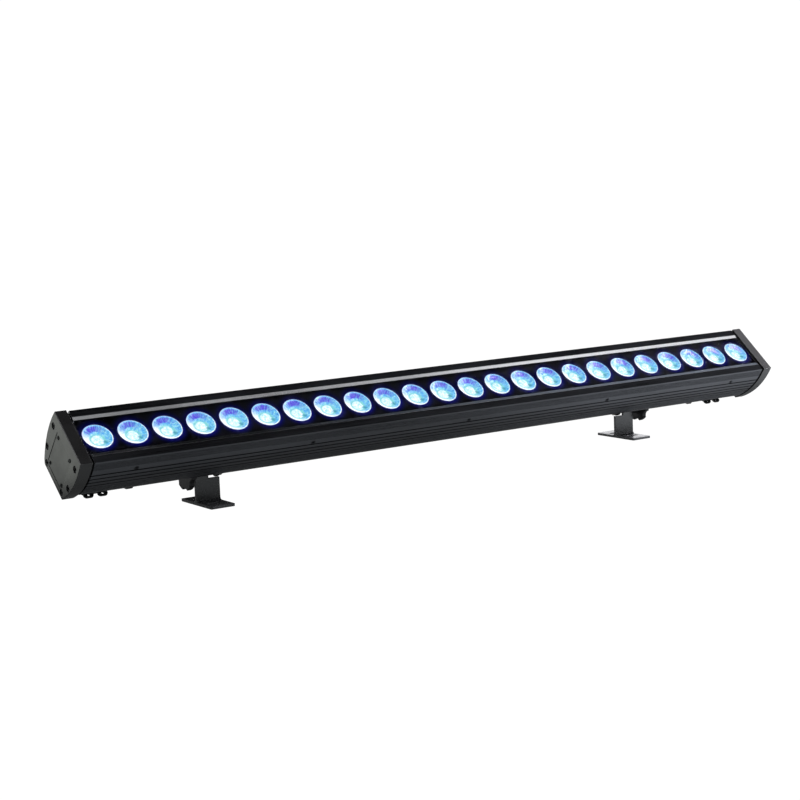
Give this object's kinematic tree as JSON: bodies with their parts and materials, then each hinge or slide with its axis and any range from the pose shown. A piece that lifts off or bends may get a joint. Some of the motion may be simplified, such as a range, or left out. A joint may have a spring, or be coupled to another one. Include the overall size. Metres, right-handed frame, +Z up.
{
  "type": "led strip batten",
  "caption": "Linear LED wash batten: finned black extrusion with one row of lenses under a clear window, end caps and rear sockets, on two tilting clamp feet.",
  "frame": {"origin": "centre of the four floor slots at floor level, midway between the feet and under the tilt axis", "axes": "+X along the batten to the right seen from its lit side, -Y towards the audience, +Z up"},
  "size_m": [1.0028, 0.1209, 0.1283],
  "materials": {
    "housing_black": "satin black anodised extrusion",
    "cap_grey": "satin dark grey-green anodised",
    "cover_grey": "satin dark grey-green anodised plate",
    "strip_bright": "polished clear anodised strip",
    "gasket_rubber": "matt silicone rubber",
    "window_clear": "clear polycarbonate",
    "mask_black": "black",
    "lens_clear": "clear moulded acrylic, lit blue-white",
    "holder_black": "black",
    "emitter": "LED package and dome",
    "board_white": "white solder mask on metal core",
    "circuit_green": "green solder mask",
    "supply_metal": "folded sheet",
    "screw_black": "black oxide",
    "screw_zinc": "zinc plated",
    "bracket_black": "black powder coat",
    "foot_black": "smooth black paint with a low gloss coat",
    "plate_black": "black powder coat",
    "socket_black": "moulded nylon",
    "panel_black": "black anodised",
    "display_dark": "tinted display window",
    "button_grey": "moulded silicone key",
    "knob_black": "grained nylon",
    "insert_brass": "turned"
  },
  "bodies": {
    "housing": {"control_board": "circuit_green", "control_panel": "panel_black", "data_inlet": "socket_black", "data_outlet": "socket_black", "display_window": "display_dark", "front_window": "window_clear", "hinge_bracket_screws": "screw_zinc", "housing_extrusion": "housing_black", "led_board_screws": "screw_zinc", "led_driver_board": "circuit_green", "led_emitters": "emitter", "left_cap_cover": "cover_grey", "left_cap_gasket": "gasket_rubber", "left_cap_screws": "screw_black", "left_cover_screws": "screw_black", "left_end_cap": "cap_grey", "left_hinge_bracket": "bracket_black", "left_led_board": "board_white", "left_pivot_bolt": "screw_zinc", "left_pivot_washer": "screw_zinc", "left_rear_plate": "plate_black", "lens_holders": "holder_black", "lens_mask": "mask_black", "lenses": "lens_clear", "lower_window_strip": "strip_bright", "panel_screws": "screw_black", "power_inlet": "socket_black", "power_outlet": "socket_black", "power_supply": "supply_metal", "rear_plate_screws": "screw_black", "right_cap_cover": "cover_grey", "right_cap_gasket": "gasket_rubber", "right_cap_screws": "screw_black", "right_cover_screws": "screw_black", "right_end_cap": "cap_grey", "right_hinge_bracket": "bracket_black", "right_led_board": "board_white", "right_pivot_bolt": "screw_zinc", "right_pivot_washer": "screw_zinc", "right_rear_plate": "plate_black", "side_screws": "screw_black", "upper_window_strip": "strip_bright"},
    "left_foot_body": {"left_foot": "foot_black"},
    "right_foot_body": {"right_foot": "foot_black"},
    "left_knob_body": {"left_knob": "knob_black", "left_knob_insert": "insert_brass"},
    "right_knob_body": {"right_knob": "knob_black", "right_knob_insert": "insert_brass"},
    "menu_button_1_body": {"menu_button_1": "button_grey"},
    "menu_button_2_body": {"menu_button_2": "button_grey"},
    "menu_button_3_body": {"menu_button_3": "button_grey"},
    "menu_button_4_body": {"menu_button_4": "button_grey"}
  },
  "joints": [
    {"name": "left_foot_tilt", "type": "hinge", "parent": "housing", "child": "left_foot_body", "pos_m": [-0.31185, 0, 0.0376], "axis": [1, 0, 0], "range_deg": [-49, 130]},
    {"name": "right_foot_tilt", "type": "hinge", "parent": "housing", "child": "right_foot_body", "pos_m": [0.31185, 0, 0.0376], "axis": [1, 0, 0], "range_deg": [-49, 130]},
    {"name": "left_knob_turn", "type": "hinge", "parent": "housing", "child": "left_knob_body", "pos_m": [-0.336, 0, 0.0376], "axis": [-1, 0, 0], "range_deg": [0, 540]},
    {"name": "right_knob_turn", "type": "hinge", "parent": "housing", "child": "right_knob_body", "pos_m": [0.336, 0, 0.0376], "axis": [1, 0, 0], "range_deg": [0, 540]},
    {"name": "menu_button_1_press", "type": "slide", "parent": "housing", "child": "menu_button_1_body", "axis": [0, -0.6534, 0.757], "range_m": [0, 0.001], "stiffness_N_per_m": 400, "springref_m": -0.0005},
    {"name": "menu_button_2_press", "type": "slide", "parent": "housing", "child": "menu_button_2_body", "axis": [0, -0.6534, 0.757], "range_m": [0, 0.001], "stiffness_N_per_m": 400, "springref_m": -0.0005},
    {"name": "menu_button_3_press", "type": "slide", "parent": "housing", "child": "menu_button_3_body", "axis": [0, -0.6534, 0.757], "range_m": [0, 0.001], "stiffness_N_per_m": 400, "springref_m": -0.0005},
    {"name": "menu_button_4_press", "type": "slide", "parent": "housing", "child": "menu_button_4_body", "axis": [0, -0.6534, 0.757], "range_m": [0, 0.001], "stiffness_N_per_m": 400, "springref_m": -0.0005}
  ]
}
